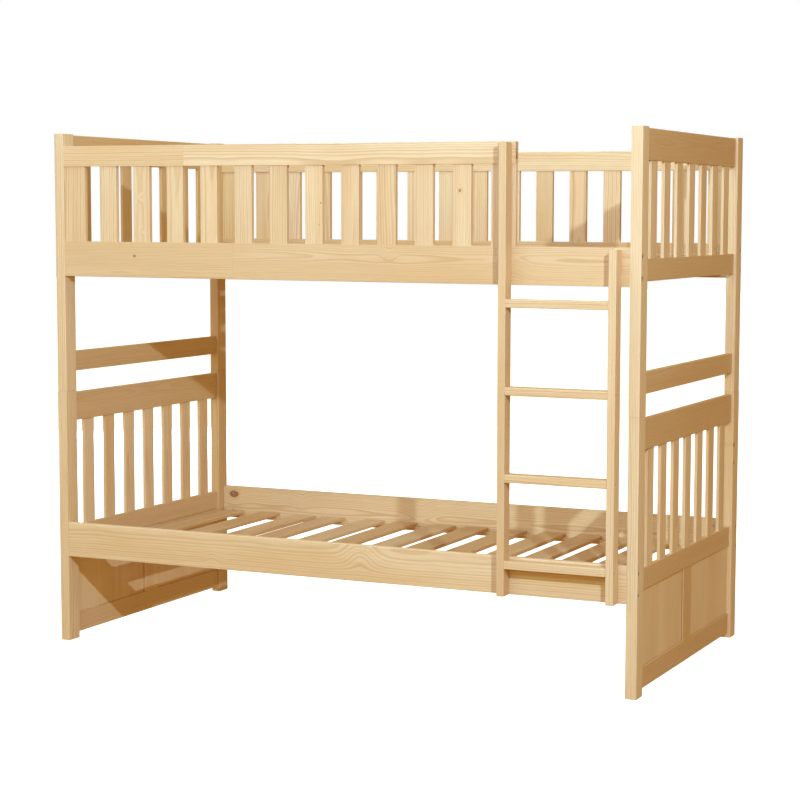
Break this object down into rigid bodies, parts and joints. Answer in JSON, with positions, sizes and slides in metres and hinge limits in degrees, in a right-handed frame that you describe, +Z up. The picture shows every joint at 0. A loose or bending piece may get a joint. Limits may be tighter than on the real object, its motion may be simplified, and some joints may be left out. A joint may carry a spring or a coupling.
{
  "type": "bunk bed with ladder",
  "caption": "Pine bunk bed: two slatted beds stacked on pinned square posts, with slatted ends and guards, panelled lower ends and a straight bolted ladder at one front corner.",
  "frame": {"origin": "on the floor, at the centre of the outline that the bed and its ladder cover", "axes": "+X along the bed towards the ladder end, -Y the ladder side, +Z up"},
  "size_m": [1.99, 1.06, 1.65],
  "materials": {
    "pine": "clear satin lacquer over pale knotty pine, posts and rails",
    "pine_boards": "clear satin lacquer over pale pine, slats, panels, ledgers and rungs",
    "beech": "bare fluted dowel rod",
    "zinc_steel": "bright zinc plate, slightly dull"
  },
  "bodies": {
    "lower_bed": {"lower_post_front_left": "pine", "lower_post_front_right": "pine", "lower_post_back_left": "pine", "lower_post_back_right": "pine", "lower_left_top_rail": "pine", "lower_left_slats": "pine_boards", "lower_left_mid_rail": "pine", "lower_left_panels": "pine_boards", "lower_left_stile": "pine", "lower_left_bottom_rail": "pine", "lower_right_top_rail": "pine", "lower_right_slats": "pine_boards", "lower_right_mid_rail": "pine", "lower_right_panels": "pine_boards", "lower_right_stile": "pine", "lower_right_bottom_rail": "pine", "lower_front_rail": "pine", "lower_back_rail": "pine", "lower_ledgers": "pine_boards", "lower_bed_slats": "pine_boards", "lower_slat_screws": "zinc_steel", "lower_ledger_screws": "zinc_steel", "lower_bolts": "zinc_steel", "lower_barrel_nuts": "zinc_steel", "lower_dowels": "beech", "joining_pins": "zinc_steel"},
    "upper_bed": {"upper_post_front_left": "pine", "upper_post_front_right": "pine", "upper_post_back_left": "pine", "upper_post_back_right": "pine", "upper_left_top_rail": "pine", "upper_left_slats": "pine_boards", "upper_left_mid_rail": "pine", "upper_left_low_rail": "pine", "upper_right_top_rail": "pine", "upper_right_slats": "pine_boards", "upper_right_mid_rail": "pine", "upper_right_low_rail": "pine", "upper_front_rail": "pine", "upper_back_rail": "pine", "upper_ledgers": "pine_boards", "upper_bed_slats": "pine_boards", "upper_slat_screws": "zinc_steel", "upper_ledger_screws": "zinc_steel", "upper_bolts": "zinc_steel", "upper_barrel_nuts": "zinc_steel", "upper_dowels": "beech", "front_guard_rail": "pine", "front_guard_slats": "pine_boards", "front_guard_stiles": "pine", "back_guard_rail": "pine", "back_guard_slats": "pine_boards", "back_guard_stiles": "pine", "ladder_left_stile": "pine", "ladder_right_stile": "pine", "ladder_rungs": "pine_boards", "rung_screws": "zinc_steel", "rung_dowels": "beech", "ladder_screws": "zinc_steel"}
  },
  "joints": [
    {"name": "upper_bed_lift", "type": "slide", "parent": "lower_bed", "child": "upper_bed", "axis": [0, 0, 1], "range_m": [0, 0.06]}
  ]
}
